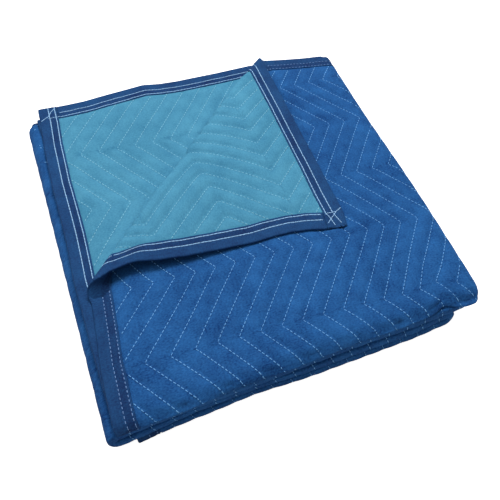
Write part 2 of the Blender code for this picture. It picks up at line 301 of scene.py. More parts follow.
def rounded(x, y):
    """Draw the stack's two right corners in, so that its outline is round there."""
    for end, way, reach in ((0.0, -1, ROUNDED_NEAR), (TOP_RUN, 1, ROUNDED_FAR)):
        span = reach + PACK / 2
        side = np.maximum(x - PANEL_WIDTH + reach, 1e-6) / span
        deep = np.maximum(way * (y - end) + reach, 1e-6) / span
        round_off = (side ** ROUNDNESS + deep ** ROUNDNESS) ** (1 / ROUNDNESS)
        drawn_in = 1 - np.maximum(side, deep) / round_off
        x = x - drawn_in * side * span
        y = y - way * drawn_in * deep * span
    return x, y


def lie(x, y, z):
    """Carry the square stack into the askew outline in which it lies."""
    across, deep = x / PANEL_WIDTH, y / TOP_RUN
    up = np.minimum(z / STACK_HEIGHT, 1.0)
    flat = []
    for axis in (0, 1):
        near_left, near_right, far_left, far_right = (
            row[2 + axis] + (row[axis] - row[2 + axis]) * up for row in CORNERS.values()
        )
        left = near_left + (far_left - near_left) * deep
        right = near_right + (far_right - near_right) * deep
        flat.append(left + (right - left) * across)
    inside, level = np.clip(deep, 0.0, 1.0), np.clip(across, 0.0, 1.0)
    lengthwise, crosswise = 4 * inside * (1 - inside), 4 * level * (1 - level)
    topmost = smooth((up - BOW_FOOT) / (1 - BOW_FOOT))
    flat[0] = flat[0] + LEFT_BOW * topmost * lengthwise * (1 - across)
    flat[1] = flat[1] + FAR_BOW * topmost * crosswise * deep
    right_bow = RIGHT_BOW * smooth((sum(RIGHT_BOW_REACH) - deep) / RIGHT_BOW_REACH[1])
    flat[0] = flat[0] + right_bow * topmost * level * level
    foot_bow = np.interp(level, *np.array(NEAR_FOOT_BOW).T)
    flat[1] = flat[1] + foot_bow * (1 - up) * (1 - deep)
    sag = CORNER_SAG * (1 - smooth(np.hypot(1 - level, inside) / CORNER_SAG_REACH))
    rolled = np.clip((NEAR_ROLL_START - y) / NEAR_ROLL_SPAN, 0.0, NEAR_ROLL_MOST)
    sag = sag + NEAR_ROLL * (1 - np.sqrt(1 - rolled * rolled))
    share = np.clip((z - 3 * PACK) / PACK, 0.0, 1.0)
    crown = CROWN * lengthwise * crosswise
    return flat[0], flat[1], z - FLOOR_SHIFT + (crown - sag) * share


def drift(inward, along, table):
    """How far a point moves with its drifting edge: all of it at the binding, less further in."""
    share = 1 - smooth((inward - BINDING_WIDTH) / DRIFT_REACH)
    return np.interp(along, *np.array(table).T) * share


def drifted(u, v):
    """Flat place at which a point meets the folds, with the edges where they drift to."""
    return (
        u + drift(u, v, LEFT_DRIFT) - drift(WIDTH - u, v, RIGHT_DRIFT),
        v + drift(v, u, START_DRIFT) - drift(LENGTH - v, u, FINISH_DRIFT),
    )


DRIFT_STEPS = 12


def undrifted(u, v):
    """Flat place of a point that meets the folds at a given place, found by steps."""
    u_flat, v_flat = u, v
    for step in range(DRIFT_STEPS):
        u_met, v_met = drifted(u_flat, v_flat)
        u_flat, v_flat = u_flat + u - u_met, v_flat + v - v_met
    return u_flat, v_flat


def fold(u, v, off):
    """Carry points of the flat blanket into the stack: across, along, and off its middle."""
    u, v, off = (np.array(part, dtype=float) for part in np.broadcast_arrays(u, v, off))
    u, v = drifted(u, v)
    depth, height = to_and_fro(v, off, LENGTH_RUNS, PITCH, np.interp(u, *LIP_SQUARENESS))
    waver = LIP_WAVER * uneven(u, 0 * u, LIP_WAVER_SIZE, 31) + np.interp(u, *LIP_FORWARD)
    waver = waver - LIP_TUCK * np.exp(-((u - LIP_TUCK_PLACE) / LIP_TUCK_WIDTH) ** 2)
    depth = depth - waver * (1 - smooth(depth / LIP_REACH))
    x, z = to_and_fro(u, height, WIDTH_RUNS, PACK)
    top = (v <= TOP_RUN) & (u <= PANEL_WIDTH)
    x_back, depth_back, rise = turn_back(x, depth, off)
    x, depth = np.where(top, x_back, x), np.where(top, depth_back, depth)
    z = np.where(top, 3.5 * PACK + 1.5 * PITCH + rise, z)
    return np.stack(lie(*rounded(x, depth), z), -1)


# The quilting: lines an inch apart that swing to and fro, and where they turn on the top
# layer and, a little askew, on the layer that shows below the flap.
QUILT_GAP = 0.0254
QUILT_SWING = 0.0737
QUILT_REACH = 0.0971
TOP_TURN = (0.1361, -0.1935)
LAST_TURN = (-0.12874, 0.14065)
LAST_LEAN = ((0.98783, 0.04497), (0.03599, 0.94384))
LAST_LINES_ON = 10
LAST_TURNS_ON = 7
TURN_OVERHANG = 0.0200
FLAP_LINE = -12 * QUILT_GAP
FLAP_TURN = -4 * QUILT_REACH
FLAP_SHEAR = 1.09
FLAP_SHEAR_REACH = 0.1200
EASE = 0.0072
EASE_START = 0.3300
EASE_REACH = 0.1200

# About where line 0 and its first turn lie on the flat blanket, and how they are found exactly.
QUILT_START = (0.34, 0.46)
QUILT_STEPS = 50
STEP_SHARE = 0.65


def quilting(u, v):
    """Place in the quilting: across its lines, and along them from one of their left turns."""
    u_here, v_here = drifted(u, v)
    past = past_fold(u, TOP_RUN - v)
    turned = np.where((u < PANEL_WIDTH) & (v < TOP_RUN), smooth(past / FLAP_SHEAR_REACH), 0.0)
    across = np.minimum(u + turned * (u_here - u), PANEL_WIDTH)
    top = np.minimum(v + drift(v, u, START_DRIFT), TOP_RUN + TURN_OVERHANG)
    x, y, _ = lie(across, TOP_RUN - top, np.full_like(u, STACK_HEIGHT))
    top_line, top_along = x - TOP_TURN[0], TOP_TURN[1] - y
    top_line += turned * (1 / FLAP_SHEAR - 1) * (top_line - FLAP_LINE)
    top_along += turned * (FLAP_SHEAR - 1) * (top_along - FLAP_TURN)
    eased = EASE * smooth((u - EASE_START) / EASE_REACH)
    eased = eased + np.clip(u - PANEL_WIDTH, 0.0, SIDE_TURN)
    top_line = top_line + eased - np.minimum(u, PANEL_WIDTH)
    top_along = top_along - np.minimum(v, TOP_RUN + TURN_OVERHANG)
    last = np.maximum(v_here, LAST_RUN_START)
    x, y, _ = lie(np.minimum(u_here, PANEL_WIDTH), last - LAST_RUN_START,
                  np.full_like(u, STACK_HEIGHT - PITCH))
    x, y = x - LAST_TURN[0], y - LAST_TURN[1]
    last_line = LAST_LEAN[0][0] * x + LAST_LEAN[0][1] * y - LAST_LINES_ON * QUILT_GAP
    last_along = LAST_LEAN[1][0] * x + LAST_LEAN[1][1] * y + LAST_TURNS_ON * 2 * QUILT_REACH
    last_line = last_line - np.minimum(u, PANEL_WIDTH)
    last_along = last_along - np.maximum(v, LAST_RUN_START)
    share = smooth((v - TOP_RUN - TURN_OVERHANG) / (LAST_RUN_START - TOP_RUN - TURN_OVERHANG))
    return (
        u + top_line + (last_line - top_line) * share,
        v + top_along + (last_along - top_along) * share,
    )


def unquilted(line, along):
    """The flat place of a place in the quilting, found by steps."""
    u, v = line + QUILT_START[0], along + QUILT_START[1]
    for step in range(QUILT_STEPS):
        line_here, along_here = quilting(u, v)
        u, v = u + STEP_SHARE * (line - line_here), v + STEP_SHARE * (along - along_here)
    return u, v


def swing(along):
    """How far a quilting line has swung to the right."""
    share = np.mod(along / QUILT_REACH, 2.0)
    return QUILT_SWING * np.minimum(share, 2 - share)


# The puffed cloth: how deep its seams lie, how high it puffs where it is free, and how unevenly.
GROOVE = 0.0006
TURN_GROOVE = 0.0002
LOFT = 0.0018
LIP_LOFT = 0.0003
PLUMPNESS = 0.45
PLUMP_SIZE = 0.045
SWELL = 0.0010
SWELL_LIFT = 0.7
SWELL_SIZE = 0.060
PUCKER = 0.0010
PUCKER_WIDTH = 0.0050
PUCKER_RISE = 1.2
CROWN_POWER = 0.6
CLEAR_MARGIN = 0.0080
BOUND_RISE = 0.0030
BOUND_REACH = 0.0160


def in_turn(place, start, length):
    """1 halfway round a turn of the cloth, and 0 where it starts, where it ends and outside it."""
    return np.sin(math.pi * np.clip((place - start) / length, 0.0, 1.0))


def turning(u, v):
    """1 where the cloth turns round in a fold that shows, and 0 where it lies flat."""
    u, v = drifted(u, v)
    lips = in_turn(v, TOP_RUN, NEAR_TURN) + in_turn(v, FAR_TURN_START, math.pi * PITCH / 2)
    middle = np.abs(v - TOP_RUN - NEAR_TURN - CREASED_RUN / 2) < CREASED_RUN / 2
    for turn, outermost in zip(SIDE_TURN_STARTS, (v < TOP_RUN, middle, v < TOP_RUN)):
        lips = lips + np.where(outermost, in_turn(u, turn, SIDE_TURN), 0.0)
    return np.minimum(lips, 1.0)


def freedom(u, v, side):
    """How freely the cloth may puff out: 1 where nothing lies on it, and 0 inside the stack."""
    u, v = drifted(u, v)
    on_top = (u < PANEL_WIDTH) & (v < TOP_RUN)
    past = past_fold(u, TOP_RUN - v)
    if side < 0:
        flap = np.where(on_top, smooth(past / CLEAR_MARGIN), 0.0)
        bared = smooth((past_fold(u, v - LAST_RUN_START) - CLEAR_MARGIN) / CLEAR_MARGIN)
        return np.where((u < PANEL_WIDTH) & (v > LAST_RUN_START), bared, flap)
    mirror = np.stack((u, TOP_RUN - v), -1) - 2 * past[..., None] * TO_CORNER
    clear = np.minimum(mirror[..., 0], TOP_RUN - mirror[..., 1])
    bared = 1 - smooth(clear / CLEAR_MARGIN + 1)
    return np.where(on_top & (past < 0), bared, 0.0)


def inside_binding(u, v):
    """How far a flat place lies in from the inner side of the binding."""
    return np.minimum(np.minimum(u, WIDTH - u), np.minimum(v, LENGTH - v)) - BINDING_WIDTH


def surface(u, v, side):
    """Height of the quilted cloth off the blanket's middle: puffed between its seams."""
    line, along = quilting(u, v)
    share = np.mod((line - swing(along)) / QUILT_GAP, 1.0)
    crown = np.sin(math.pi * share) ** CROWN_POWER
    edge = inside_binding(u, v)
    free = freedom(u, v, side) * smooth(edge / BOUND_REACH)
    plump = 1 + PLUMPNESS * uneven(line, along, PLUMP_SIZE, 3)
    turn = np.abs(np.mod(along / QUILT_REACH + 0.5, 1.0) - 0.5) * QUILT_REACH
    pucker = np.exp(-(turn / PUCKER_WIDTH) ** 2) * (PUCKER_RISE - crown)
    lips = turning(u, v)
    height = HALF_THICK - (GROOVE + (TURN_GROOVE - GROOVE) * lips) * (1 - crown)
    height = height + LIP_LOFT * lips * crown * plump
    height = height + free * (LOFT * crown * plump - PUCKER * pucker)
    height = height + free * SWELL * (SWELL_LIFT + uneven(u, v, SWELL_SIZE, 8))
    return BOUND_HALF + (height - BOUND_HALF) * smooth(edge / BOUND_RISE)


# How finely the cloth is cut: columns in a gap, rows in a swing, and strips round each turn.
COLUMNS = 6
LOWER_COLUMNS = 3
ROWS = 20
HIDDEN_ROWS = 6
NEAR_STRIPS = 8
SMALL_STRIPS = 5
SIDE_STRIPS = 8
ROLL_STRIPS = 8

# How far the grid runs past the edges, how near a cut takes a point along, and how far in from
# the edge the cloth is cut off.
SPARE_EDGE = 0.02
SAME_PLACE = 0.0003
RAW_EDGE = 0.0008
CROSSWAYS = np.array((1, 0))
LENGTHWAYS = np.array((0, 1))


def mesh_of(points, faces):
    """A mesh to edit, from an array of points and a list of the corners of each face."""
    mesh = bpy.data.meshes.new("flat")
    mesh.from_pydata(points.tolist(), [], faces)
    flat = bmesh.new()
    flat.from_mesh(mesh)
    bpy.data.meshes.remove(mesh)
    return flat


def cut(flat, place, across, faces=None, drop=False):
    """Cut the flat mesh, or some of its faces, along a straight line; drop what lies on the far
    side of it if told to.
    """
    parts = flat.faces[:] if faces is None else faces
    edges = flat.edges[:] if faces is None else list({e for f in parts for e in f.edges})
    verts = flat.verts[:] if faces is None else list({p for f in parts for p in f.verts})
    bmesh.ops.bisect_plane(flat, geom=parts + edges + verts, dist=SAME_PLACE,
                           plane_co=(*place, 0.0), plane_no=(*across, 0.0), clear_outer=drop)


def move(flat, way):
    """Move the points of a flat mesh to the places that a function gives for them."""
    places = way(*np.array([vert.co[:2] for vert in flat.verts]).T)
    for vert, u, v in zip(flat.verts, *places):
        vert.co.x, vert.co.y = u, v


def quilt_grid(fine_rows):
    """The flat cloth as a grid whose columns follow the quilting, with more rows where told."""
    line_ends, along_ends = quilting(
        np.array((0.0, WIDTH, 0.0, WIDTH)), np.array((0.0, 0.0, LENGTH, LENGTH)))
    first = math.floor((line_ends.min() - QUILT_SWING) / QUILT_GAP) - 1
    last = math.ceil(line_ends.max() / QUILT_GAP) + 1
    middle = math.ceil((PANEL_WIDTH + SIDE_TURN - QUILT_START[0]) / QUILT_GAP)
    columns = np.concatenate((np.arange(first, middle, 1 / COLUMNS),
                              np.arange(middle, last, 1 / LOWER_COLUMNS))) * QUILT_GAP
    rows, turn = [], math.floor(along_ends.min() / QUILT_REACH) - 1
    while turn * QUILT_REACH < along_ends.max() + QUILT_REACH:
        place = turn * QUILT_REACH + QUILT_START[1]
        fine = any(low < place < high for low, high in fine_rows)
        steps = ROWS if fine else HIDDEN_ROWS
        rows += [turn + step / steps for step in range(steps)]
        turn += 1
    rows = np.array(rows) * QUILT_REACH
    along = np.repeat(rows, len(columns))
    u, v = unquilted(np.tile(columns, len(rows)) + swing(along), along)
    keep = (u > -SPARE_EDGE) & (u < WIDTH + SPARE_EDGE)
    keep &= (v > -SPARE_EDGE) & (v < LENGTH + SPARE_EDGE)
    index = np.arange(len(u)).reshape(len(rows), len(columns))
    quads = np.stack((index[:-1, :-1], index[:-1, 1:], index[1:, 1:], index[1:, :-1]), -1)
    quads = quads.reshape(-1, 4)
    used, quads = np.unique(quads[keep[quads].any(1)], return_inverse=True)
    return mesh_of(np.stack((u[used], v[used], 0 * used), -1), quads.reshape(-1, 4).tolist())


def flat_cloth(side, fine_rows):
    """One cloth laid flat, cut to its size and along each line at which it will turn."""
    flat = quilt_grid(fine_rows)
    sizes = ((WIDTH, CROSSWAYS), (LENGTH, LENGTHWAYS))
    for size, way in sizes:
        cut(flat, (size - RAW_EDGE) * way, way, drop=True)
        cut(flat, RAW_EDGE * way, -way, drop=True)
    for edge in (BINDING_WIDTH, BINDING_WIDTH + BOUND_RISE / 2, BINDING_WIDTH + BOUND_RISE):
        for size, way in sizes:
            cut(flat, edge * way, way)
            cut(flat, (size - edge) * way, way)
    move(flat, drifted)
    for turns, length, strips, way in (
        ((TOP_RUN,), NEAR_TURN, NEAR_STRIPS, LENGTHWAYS),
        ((FAR_TURN_START, INNER_TURN_START), math.pi * PITCH / 2, SMALL_STRIPS, LENGTHWAYS),
        (SIDE_TURN_STARTS, SIDE_TURN, SIDE_STRIPS, CROSSWAYS),
    ):
        for turn in turns:
            for step in range(strips + 1):
                cut(flat, (turn + length * step / strips) * way, way)
    across = TO_CORNER * (1, -1)
    for step in range(ROLL_STRIPS + 1):
        top = [face for face in flat.faces
               if all(p.co.x < PANEL_WIDTH and p.co.y < TOP_RUN for p in face.verts)]
        cut(flat, (FOLD_START[0], 0.0) + across * (ROLL_LENGTH * step / ROLL_STRIPS), across, top)
    move(flat, undrifted)
    bmesh.ops.triangulate(flat, faces=flat.faces[:])
    bmesh.ops.recalc_face_normals(flat, faces=flat.faces[:])
    if (flat.faces[0].normal.z > 0) != (side > 0):
        bmesh.ops.reverse_faces(flat, faces=flat.faces[:])
    return flat


# Cloth that would sink into the floor is pressed flat within this height of it.
FLOOR_REST = 0.0012


def numbers(items, name, width):
    """All values of one property of a mesh's items, as an array."""
    found = np.empty(len(items) * width, dtype=np.float32)
    items.foreach_get(name, found)
    return found.reshape(-1, width).astype(float)


def placed(name, data):
    """A new object in the scene."""
    item = bpy.data.objects.new(name, data)
    bpy.context.collection.objects.link(item)
    return item


def folded_piece(name, flat, height, material):
    """Fold a flat mesh into the stack. Its flat place stays on it as a map, in metres, and
    on a quilted cloth so does its place in the quilting, in gaps and swings."""
    mesh = bpy.data.meshes.new(name)
    flat.to_mesh(mesh)
    flat.free()
    places = numbers(mesh.vertices, "co", 3)
    off = height(places[:, 0], places[:, 1]) if height else places[:, 2]
    corners = np.empty(len(mesh.loops), dtype=np.int32)
    mesh.loops.foreach_get("vertex_index", corners)
    laid = mesh.uv_layers.new(name="laid_flat")
    laid.uv.foreach_set("vector", places[corners, :2].astype(np.float32).ravel())
    if height:
        line, along = quilting(places[:, 0], places[:, 1])
        quilted = np.stack(((line - swing(along)) / QUILT_GAP, along / QUILT_REACH), -1)
        sewn = mesh.uv_layers.new(name="quilted")
        sewn.uv.foreach_set("vector", quilted[corners].astype(np.float32).ravel())
    folded = fold(places[:, 0], places[:, 1], off)
    pressed = FLOOR_REST * np.exp(np.minimum(folded[:, 2] / FLOOR_REST, 1) - 1)
    folded[:, 2] = np.where(folded[:, 2] < FLOOR_REST, pressed, folded[:, 2])
    mesh.vertices.foreach_set("co", folded.ravel())
    mesh.shade_smooth()
    mesh.update()
    mesh.materials.append(material)
    return placed(name, mesh)


FLOAT, VECTOR, COLOUR = "NodeSocketFloat", "NodeSocketVector", "NodeSocketColor"


def node_group(name, inputs, outputs):
    """An empty shader node group with named sockets, each with its kind and default."""
    group = bpy.data.node_groups.new(name, "ShaderNodeTree")
    for socket, kind, default in inputs:
        made = group.interface.new_socket(name=socket, in_out="INPUT", socket_type=kind)
        if default is not None:
            made.default_value = default
    for socket, kind in outputs:
        group.interface.new_socket(name=socket, in_out="OUTPUT", socket_type=kind)
    return group, group.nodes.new("NodeGroupInput"), group.nodes.new("NodeGroupOutput")


def feed(tree, node, values):
    """Link a node's inputs to sockets, or set their constants; by name or number."""
    for name, value in values.items():
        if isinstance(value, bpy.types.NodeSocket):
            tree.links.new(value, node.inputs[name])
        else:
            node.inputs[name].default_value = value
    return node


def maths(tree, operation, *values):
    """A Math node fed with sockets or plain numbers."""
    node = tree.nodes.new("ShaderNodeMath")
    node.operation = operation
    return feed(tree, node, dict(enumerate(values))).outputs[0]


def mixed(tree, share, first, second):
    """A colour part of the way between two others."""
    node = tree.nodes.new("ShaderNodeMix")
    node.data_type = "RGBA"
    node.clamp_factor = False
    return feed(tree, node, {0: share, 6: first, 7: second}).outputs[2]


def noise(tree, place, stretch, detail=2.0):
    """A Noise texture over a place that is first stretched along each axis."""
    scaled = tree.nodes.new("ShaderNodeVectorMath")
    scaled.operation = "MULTIPLY"
    feed(tree, scaled, {0: place, 1: stretch})
    texture = tree.nodes.new("ShaderNodeTexNoise")
    feed(tree, texture, {"Scale": 1.0, "Detail": detail, "Vector": scaled.outputs[0]})
    return texture.outputs["Fac"]


def swells(tree, place, stretch, detail=2.0):
    """The same noise about 0."""
    return maths(tree, "SUBTRACT", noise(tree, place, stretch, detail), 0.5)


def ridge(tree, distance, width):
    """A soft ridge: 1 where a distance is 0, and next to nothing beyond a width."""
    share = maths(tree, "DIVIDE", distance, width)
    return maths(tree, "POWER", 1 / math.e, maths(tree, "MULTIPLY", share, share))


def ramp(tree, value, low, high):
    """A smooth rise from 0 at the low value to 1 at the high one."""
    node = tree.nodes.new("ShaderNodeMapRange")
    node.interpolation_type = "SMOOTHSTEP"
    return feed(tree, node, {"Value": value, "From Min": low, "From Max": high}).outputs[0]


def parted(tree, place):
    """The two numbers of a flat place."""
    split = tree.nodes.new("ShaderNodeSeparateXYZ")
    tree.links.new(place, split.inputs[0])
    return split.outputs[0], split.outputs[1]


SLUB_STRETCH = (420.0, 60.0, 1.0)
WEAVE_SHARE = 0.25


def woven_cloth():
    """Plain weave: warp and weft threads pass over and under, with thick slubs in places."""
    group, given, made = node_group(
        "woven_cloth",
        (("Place", VECTOR, None), ("Threads", FLOAT, 900.0), ("Slubs", FLOAT, 0.5)),
        (("Height", FLOAT), ("Slub", FLOAT)),
    )
    place = given.outputs["Place"]
    waves = []
    for part in parted(group, place):
        turned = maths(group, "MULTIPLY", part, given.outputs["Threads"])
        waves.append(maths(group, "SINE", maths(group, "MULTIPLY", turned, math.pi)))
    weave = maths(group, "MULTIPLY", *waves)
    slub = noise(group, place, SLUB_STRETCH)
    thick = maths(group, "MULTIPLY", maths(group, "SUBTRACT", slub, 0.5), given.outputs["Slubs"])
    height = maths(group, "MULTIPLY_ADD", weave, WEAVE_SHARE, thick)
    feed(group, made, {"Height": height, "Slub": slub})
    return group


# Noise over the quilting, stretched across its gaps and along its swings: the puckers, how far
# the creases wander, and where they are strong.
PUCKER_STRETCH = (2.2, 21.0, 1.0)
WANDER_STRETCH = (1.9, 0.9, 1.0)
STRENGTH_STRETCH = (0.8, 0.45, 1.0)
PUCKER_REACH = (0.02, 0.36)
WANDER = 0.16
STRENGTH_RISE = (0.35, 0.60)

# The creases from the turns of a line: which turns, and where in the gap they fade in.
TURN_CREASES = ((0.0, 0.20, 0.85), (1.0, 0.80, 0.15))
SECOND_CREASE = 0.35
FURROW_WIDTH = 0.055
CREASE_WIDTH = 0.017

# What each mark adds to the relief, and to the shade and light painted into the cloth's colour:
# furrow, pucker, crease
MARKS = {"Height": (-0.30, 1.20, -0.80), "Shade": (0.25, -1.1, 0.70)}


def quilt_creases():
    """Fine creases: a furrow along each seam, puckers across it, and creases from its turns; their
    relief, and the shade painted for them.
    """
    group, given, made = node_group(
        "quilt_creases",
        (("Quilted", VECTOR, None), ("Puckers", FLOAT, 1.0), ("Turn creases", FLOAT, 1.0)),
        (("Height", FLOAT), ("Shade", FLOAT)),
    )
    quilted = given.outputs["Quilted"]
    lines, turns = parted(group, quilted)
    gap = maths(group, "FRACT", lines)
    off_seam = maths(group, "PINGPONG", lines, 0.5)
    furrow = ridge(group, off_seam, FURROW_WIDTH)
    near_seam = maths(group, "SUBTRACT", 1.0, ramp(group, off_seam, *PUCKER_REACH))
    pucker = maths(group, "MULTIPLY", swells(group, quilted, PUCKER_STRETCH), near_seam)
    pucker = maths(group, "MULTIPLY", pucker, given.outputs["Puckers"])
    wander = maths(group, "MULTIPLY", swells(group, quilted, WANDER_STRETCH), WANDER)
    creases = []
    for odd, start, end in TURN_CREASES:
        turn = maths(group, "PINGPONG", maths(group, "ADD", turns, odd), 1.0)
        bent = maths(group, "ABSOLUTE", maths(group, "ADD", turn, wander))
        creases.append(maths(group, "MULTIPLY", ridge(group, bent, CREASE_WIDTH),
                             ramp(group, gap, start, end)))
    strength = ramp(group, noise(group, quilted, STRENGTH_STRETCH), *STRENGTH_RISE)
    crease = maths(group, "MULTIPLY_ADD", creases[1], SECOND_CREASE, creases[0])
    crease = maths(group, "MULTIPLY", maths(group, "MULTIPLY", crease, strength),
                   given.outputs["Turn creases"])
    for output, (of_furrow, of_pucker, of_crease) in MARKS.items():
        total = maths(group, "MULTIPLY", furrow, of_furrow)
        total = maths(group, "MULTIPLY_ADD", pucker, of_pucker, total)
        feed(group, made, {output: maths(group, "MULTIPLY_ADD", crease, of_crease, total)})
    return group


# The cloth's mottle: stretch of a noise over the cloth, its detail, its strength
MOTTLE = (
    ((9.0, 6.0, 1.0), 1.0, 1.2),
    ((42.0, 42.0, 1.0), 5.0, 1.9),
    ((380.0, 620.0, 1.0), 4.0, 3.0),
)

# The share of the deep dye on the whole and at least, how the slubs streak it, and the rubbing.
MEAN_SHARE = 0.11
LEAST_SHARE = -0.7
PLAIN_SLUB = 0.45
STREAKS = 0.6
RUB_STRETCH = (75.0, 75.0, 1.0)
RUB_DETAIL = 3.0


def dyed_and_shaded_colour():
    """Dyed cloth: soft blotches, darker slub streaks, paler fibres where it is rubbed, and painted
    shade where it is given.
    """
    group, given, made = node_group(
        "dyed_and_shaded_colour",
        (("Place", VECTOR, None), ("Slub", FLOAT, 0.5), ("Dye", COLOUR, (0.02, 0.11, 0.34, 1)),
         ("Deep", COLOUR, (0.01, 0.07, 0.25, 1)), ("Rubbed", COLOUR, (0.05, 0.18, 0.45, 1)),
         ("Blotches", FLOAT, 1.3), ("Wear", FLOAT, 0.3), ("Crease", FLOAT, 0.0)),
        (("Colour", COLOUR), ("Wear", FLOAT)),
    )
    place = given.outputs["Place"]
    share = MEAN_SHARE
    for stretch, detail, strength in MOTTLE:
        share = maths(group, "MULTIPLY_ADD", swells(group, place, stretch, detail), strength, share)
    share = maths(group, "MULTIPLY", share, given.outputs["Blotches"])
    streak = maths(group, "SUBTRACT", given.outputs["Slub"], PLAIN_SLUB)
    dark = maths(group, "MULTIPLY_ADD", streak, STREAKS, share)
    # painted shade: the quilting's creases and the tape between its rows darken the dye here
    dark = maths(group, "ADD", dark, given.outputs["Crease"])
    deep = mixed(group, maths(group, "MAXIMUM", dark, LEAST_SHARE), given.outputs["Dye"],
                 given.outputs["Deep"])
    worn = maths(group, "MULTIPLY", swells(group, place, RUB_STRETCH, RUB_DETAIL), 2.0)
    worn = maths(group, "MULTIPLY", maths(group, "MAXIMUM", worn, 0.0), given.outputs["Wear"])
    feed(group, made, {"Colour": mixed(group, worn, deep, given.outputs["Rubbed"]), "Wear": worn})
    return group


def darker_between_rows():
    """Shade painted on the tape between its two rows of stitches, where it is drawn in, round all
    four edges.
    """
    group, given, made = node_group(
        "darker_between_rows",
        (("Place", VECTOR, None), ("Width", FLOAT, WIDTH), ("Length", FLOAT, LENGTH),
         ("Outer row", FLOAT, 0.0150), ("Inner row", FLOAT, 0.0240), ("Darkness", FLOAT, 0.6)),
        (("Shade", FLOAT),),
    )
    nearest = []
    for part, size in zip(parted(group, given.outputs["Place"]), ("Width", "Length")):
        rest = maths(group, "SUBTRACT", given.outputs[size], part)
        nearest.append(maths(group, "MINIMUM", part, rest))
    inward = maths(group, "MINIMUM", *nearest)
    inside = maths(group, "MULTIPLY",
                   maths(group, "GREATER_THAN", inward, given.outputs["Outer row"]),
                   maths(group, "LESS_THAN", inward, given.outputs["Inner row"]))
    feed(group, made, {"Shade": maths(group, "MULTIPLY", inside, given.outputs["Darkness"])})
    return group


WOVEN, DYED_AND_SHADED, CREASED = woven_cloth(), dyed_and_shaded_colour(), quilt_creases()
ROWS_SHADE = darker_between_rows()
QUILT_RELIEF = 0.001
WEAVE_STRENGTH = 0.6
WORN_ROUGHNESS = 0.15


def new_material(name):
    """A material, its node tree and its shader."""
    made = bpy.data.materials.new(name)
    made.use_nodes = True
    return made, made.node_tree, made.node_tree.nodes["Principled BSDF"]


def mapped(tree, name):
    """The place that one of a piece's maps gives."""
    node = tree.nodes.new("ShaderNodeUVMap")
    node.uv_map = name
    return node.outputs[0]


def grouped(tree, group, **values):
    """A shared effect placed in a material, with the material's own values."""
    node = tree.nodes.new("ShaderNodeGroup")
    node.node_tree = group
    return feed(tree, node, values)


def bumped(tree, height, values):
    """The normal of a surface with a relief on it."""
    return feed(tree, tree.nodes.new("ShaderNodeBump"), {"Height": height, **values}).outputs[0]


def cloth_material(name, dye, deep, rubbed, threads, slubs, relief, roughness, quilted):
    """Matt cloth: its weave stands in relief, its dye varies, and quilting marks it in relief and
    with painted shade, or rows with painted shade.
    """
    cloth, tree, shader = new_material(name)
    place = mapped(tree, "laid_flat")
    weave = grouped(tree, WOVEN, Place=place, Threads=threads, Slubs=slubs)
    bump = {"Strength": WEAVE_STRENGTH, "Distance": relief}
    if quilted:
        marks = grouped(tree, CREASED, Quilted=mapped(tree, "quilted"))
        bump["Normal"] = bumped(tree, marks.outputs["Height"], {"Distance": QUILT_RELIEF})
    else:
        marks = grouped(tree, ROWS_SHADE, Place=place)
    # The marks' painted shade darkens the dye.
    colour = grouped(tree, DYED_AND_SHADED, Place=place, Slub=weave.outputs["Slub"], Dye=(*dye, 1),
                     Deep=(*deep, 1), Rubbed=(*rubbed, 1), Crease=marks.outputs["Shade"])
    rough = maths(tree, "MULTIPLY_ADD", colour.outputs["Wear"], WORN_ROUGHNESS, roughness)
    feed(tree, shader, {
        "Base Color": colour.outputs["Colour"], "Roughness": rough, "Specular IOR Level": 0.12,
        "Sheen Weight": 0.03, "Sheen Roughness": 0.5, "Sheen Tint": (*rubbed, 1),
        "Normal": bumped(tree, weave.outputs["Height"], bump),
    })
    return cloth


# Stretches of the blanket's length over which a cloth shows, and has its rows close together.
PAST_EDGE = 0.10
FINE_MARGIN = 0.05
TOP_FINE = (-PAST_EDGE, TOP_RUN + NEAR_TURN + FINE_MARGIN)
LAST_FINE = (LAST_RUN_START - FINE_MARGIN, LENGTH + PAST_EDGE)
face_material = cloth_material(
    "face_cloth", (0.0160, 0.1000, 0.3050), (0.0070, 0.0550, 0.2000), (0.043, 0.168, 0.415),
    threads=1100.0, slubs=0.7, relief=0.0006, roughness=0.85, quilted=True)
face = folded_piece("face_cloth", flat_cloth(1, (TOP_FINE,)),
                    lambda u, v: surface(u, v, 1), face_material)
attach(face, "root")
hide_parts("face_panel")

# ------------------------------------------------------------------ backing cloth
# The blanket's light side is a second cloth of the same size, in light blue, sewn through by
# the same quilting lines. It shows on the turned-back flap and on the layer below it.
back_material = cloth_material(
    "back_cloth", (0.070, 0.277, 0.433), (0.048, 0.218, 0.362), (0.118, 0.362, 0.510),
    threads=1100.0, slubs=0.5, relief=0.0005, roughness=0.86, quilted=True)
back = folded_piece("backing_cloth", flat_cloth(-1, (TOP_FINE, LAST_FINE)),
                    lambda u, v: -surface(u, v, -1), back_material)
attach(back, "root")
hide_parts("back_panel")

# ------------------------------------------------------------------ binding
# Four strips of navy tape close the edges. Each is folded over the edge, face and back, and
# sewn down in two rows; the start strip runs over the ends of the side strips, and the side
# strips over the ends of the finish strip.
BINDING_RISE = 0.0003
BINDING_CLOTH = 0.0005
SEAM_GAP = 0.0003
BOUND_EDGE = BINDING_WIDTH + SEAM_GAP

# The two sewn rows: how far in they lie, and how the tape is drawn in along them.
ROW_PLACES = (0.0148, 0.0240)
ROW_SINK = 0.0005
ROW_WIDTH = 0.0016

# The slack tape ripples, except next to where it is held, and its inner side wavers.
# height of a ripple, its size
TAPE_RIPPLES = ((0.00035, 0.012), (0.00020, 0.0045))
TAPE_HELD = (0.004, 0.003)
TAPE_WAVER = 0.0005
TAPE_WAVER_SIZE = 0.02

